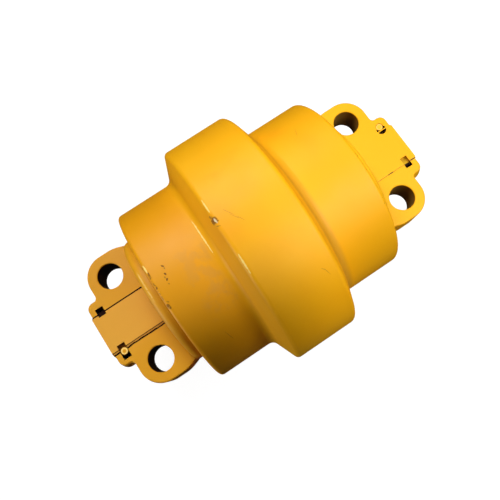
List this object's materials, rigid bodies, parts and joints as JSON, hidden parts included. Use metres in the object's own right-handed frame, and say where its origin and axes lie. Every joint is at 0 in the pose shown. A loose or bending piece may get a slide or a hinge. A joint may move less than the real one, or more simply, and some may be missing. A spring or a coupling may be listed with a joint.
{
  "type": "track roller",
  "caption": "Double-ended track roller with a centre flange, turning on a fixed shaft held in two bolt-up end collars.",
  "frame": {"origin": "centre of the roller on its axis of rotation", "axes": "+Y along the roller's axis towards the right collar, +Z out of the mount faces towards the track frame, X across the machine's track"},
  "size_m": [0.3099, 0.461, 0.31],
  "materials": {
    "roller_paint": "satin yellow enamel over cast steel",
    "collar_paint": "satin yellow enamel over flame-cut and milled steel",
    "axle_paint": "satin yellow enamel on the exposed ends, ground steel inside",
    "pin_paint": "satin yellow enamel over a steel pin",
    "bronze": "machined bearing bronze",
    "seal_steel": "lapped cast alloy ring",
    "seal_rubber": "moulded black rubber",
    "plug_steel": "zinc-plated steel",
    "washer_copper": "soft copper"
  },
  "bodies": {
    "axle_assembly": {"shaft": "axle_paint", "collar_left": "collar_paint", "collar_right": "collar_paint", "lock_pin_left": "pin_paint", "lock_pin_right": "pin_paint", "collar_seal_ring_left": "seal_steel", "collar_seal_ring_right": "seal_steel", "collar_toric_left": "seal_rubber", "collar_toric_right": "seal_rubber", "shaft_o_ring_left": "seal_rubber", "shaft_o_ring_right": "seal_rubber", "filler_plug": "plug_steel", "plug_washer": "washer_copper"},
    "roller": {"roller_shell": "roller_paint", "bush_left": "bronze", "bush_right": "bronze", "roller_seal_ring_left": "seal_steel", "roller_seal_ring_right": "seal_steel", "roller_toric_left": "seal_rubber", "roller_toric_right": "seal_rubber"}
  },
  "joints": [
    {"name": "roller_spin", "type": "hinge", "parent": "axle_assembly", "child": "roller", "pos_m": [0, 0, 0], "axis": [0, 1, 0], "continuous": true}
  ]
}
